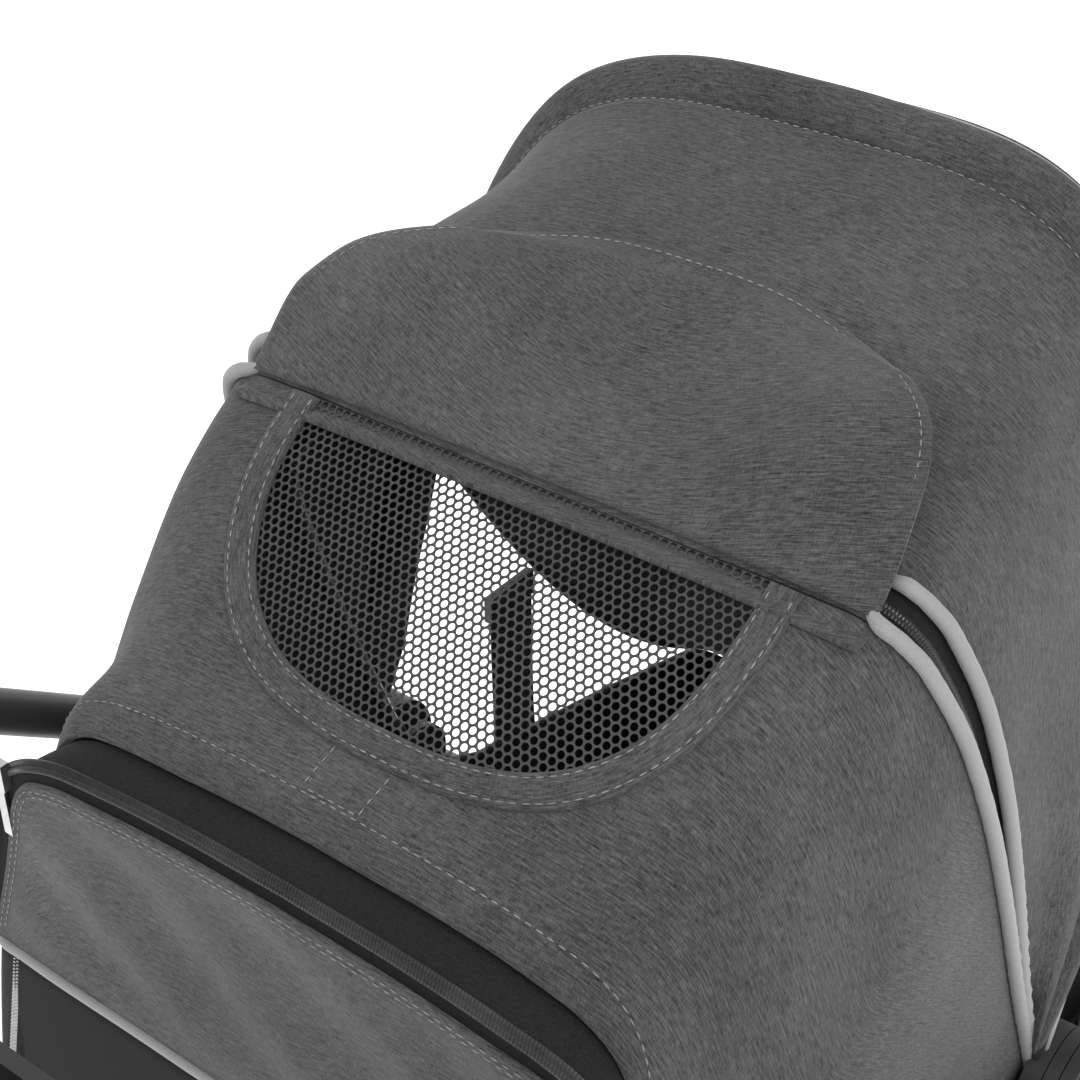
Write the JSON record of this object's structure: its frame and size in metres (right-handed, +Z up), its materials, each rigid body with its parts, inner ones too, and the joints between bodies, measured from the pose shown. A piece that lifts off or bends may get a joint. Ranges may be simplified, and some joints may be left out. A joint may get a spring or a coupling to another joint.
{
  "type": "pet stroller",
  "caption": "Folding pet stroller with a grey linen-look hood, rolled-up window flap over a net window, fabric cabin, basket, swivel casters and a parent tray.",
  "frame": {"origin": "on the floor, under the middle of the stroller's box", "axes": "+Z up, -Y the way the stroller rolls and the animal faces, +X to the left of the person who pushes"},
  "size_m": [0.572, 0.9235, 1.01],
  "materials": {
    "frame_tube": "satin powder coat, near black",
    "hub_plastic": "fine-textured black nylon",
    "steel": "zinc-plated steel",
    "wheel_plastic": "moulded dark grey plastic",
    "tyre": "solid foamed tyre",
    "shell_fabric": "heather grey slub linen-look polyester",
    "lining_fabric": "smooth near-black woven polyester",
    "net": "black hexagonal net",
    "webbing": "ribbed black webbing",
    "zipper": "black coil zipper on woven tape",
    "foam": "closed-cell foam",
    "pad_fabric": "quilted soft grey fleece",
    "board": "stiff board",
    "buckle": "moulded acetal"
  },
  "bodies": {
    "frame": {"front_leg_left": "frame_tube", "front_leg_right": "frame_tube", "front_crossbar": "frame_tube", "caster_sockets": "hub_plastic", "hub_plates": "hub_plastic", "hub_pins": "hub_plastic", "cabin_rails": "frame_tube", "cabin_crossbars": "frame_tube", "cabin_stays": "frame_tube", "cabin_tub": "lining_fabric", "floor_board": "board", "cabin_pad": "pad_fabric", "tether_strap": "webbing", "tether_hook": "steel", "hood_brackets": "hub_plastic", "rear_bow": "steel", "middle_bow": "steel", "hood_panel": "shell_fabric", "window_net": "net", "rear_panel": "shell_fabric", "rear_zipper": "zipper", "zipper_slider": "steel", "side_straps": "webbing", "strap_buckles": "buckle", "basket": "lining_fabric", "basket_straps": "webbing"},
    "rear_legs": {"rear_leg_left": "frame_tube", "rear_leg_right": "frame_tube", "rear_leg_discs": "hub_plastic", "rear_feet": "hub_plastic", "rear_crossbar": "frame_tube", "rear_axle": "steel", "rear_nuts": "hub_plastic"},
    "brake": {"brake_bar": "hub_plastic"},
    "rear_wheel_left": {"rear_rim_left": "wheel_plastic", "rear_tyre_left": "tyre"},
    "rear_wheel_right": {"rear_rim_right": "wheel_plastic", "rear_tyre_right": "tyre"},
    "caster_left": {"caster_fork_left": "hub_plastic", "caster_axle_left": "steel"},
    "caster_right": {"caster_fork_right": "hub_plastic", "caster_axle_right": "steel"},
    "front_wheel_left": {"front_rim_left": "wheel_plastic", "front_tyre_left": "tyre"},
    "front_wheel_right": {"front_rim_right": "wheel_plastic", "front_tyre_right": "tyre"},
    "handle": {"handle_discs": "hub_plastic", "handle_tube_left": "frame_tube", "handle_tube_right": "frame_tube", "handle_crossbar": "frame_tube", "grip": "foam", "parent_tray": "hub_plastic", "tray_clips": "hub_plastic"},
    "collar_left": {"release_collar_left": "hub_plastic"},
    "collar_right": {"release_collar_right": "hub_plastic"},
    "hood_rim": {"rim_bow": "frame_tube", "rim_panel": "shell_fabric"},
    "flap": {"window_flap": "shell_fabric"},
    "cover": {"front_cover": "shell_fabric", "cover_net": "net"}
  },
  "joints": [
    {"name": "handle_fold", "type": "hinge", "parent": "frame", "child": "handle", "pos_m": [0, -0.06975, 0.58], "axis": [1, 0, 0], "range_deg": [0, 145]},
    {"name": "rear_leg_fold", "type": "hinge", "parent": "frame", "child": "rear_legs", "pos_m": [0, -0.06975, 0.58], "axis": [1, 0, 0], "range_deg": [-44, 0]},
    {"name": "release_right", "type": "slide", "parent": "handle", "child": "collar_right", "axis": [0, 0.8039, 0.5948], "range_m": [0, 0.012], "stiffness_N_per_m": 150},
    {"name": "release_left", "type": "slide", "parent": "handle", "child": "collar_left", "axis": [0, 0.8039, 0.5948], "range_m": [0, 0.012], "stiffness_N_per_m": 150},
    {"name": "brake_pedal", "type": "hinge", "parent": "rear_legs", "child": "brake", "pos_m": [0, 0.29225, 0.128], "axis": [1, 0, 0], "range_deg": [0, 20]},
    {"name": "hood_fold", "type": "hinge", "parent": "frame", "child": "hood_rim", "pos_m": [0, -0.06975, 0.58], "axis": [1, 0, 0], "range_deg": [-28, 0]},
    {"name": "window_flap_turn", "type": "hinge", "parent": "frame", "child": "flap", "pos_m": [0, 0.06625, 0.92], "axis": [1, 0, 0], "range_deg": [-186, 0]},
    {"name": "front_cover_open", "type": "hinge", "parent": "frame", "child": "cover", "pos_m": [0, -0.39375, 0.4705], "axis": [1, 0, 0], "range_deg": [0, 130]},
    {"name": "caster_swivel_left", "type": "hinge", "parent": "frame", "child": "caster_left", "pos_m": [0.222, -0.42175, 0.18], "axis": [0, 0, 1], "continuous": true},
    {"name": "front_wheel_spin_left", "type": "hinge", "parent": "caster_left", "child": "front_wheel_left", "pos_m": [0.222, -0.38675, 0.075], "axis": [1, 0, 0], "continuous": true},
    {"name": "rear_wheel_spin_left", "type": "hinge", "parent": "rear_legs", "child": "rear_wheel_left", "pos_m": [0.262, 0.26025, 0.095], "axis": [1, 0, 0], "continuous": true},
    {"name": "caster_swivel_right", "type": "hinge", "parent": "frame", "child": "caster_right", "pos_m": [-0.222, -0.42175, 0.18], "axis": [0, 0, 1], "continuous": true},
    {"name": "front_wheel_spin_right", "type": "hinge", "parent": "caster_right", "child": "front_wheel_right", "pos_m": [-0.222, -0.38675, 0.075], "axis": [1, 0, 0], "continuous": true},
    {"name": "rear_wheel_spin_right", "type": "hinge", "parent": "rear_legs", "child": "rear_wheel_right", "pos_m": [-0.262, 0.26025, 0.095], "axis": [1, 0, 0], "continuous": true}
  ],
  "couplings": [
    {"joint": "rear_leg_fold", "follows": "handle_fold", "ratio": -0.3},
    {"joint": "release_left", "follows": "release_right", "ratio": 1}
  ]
}
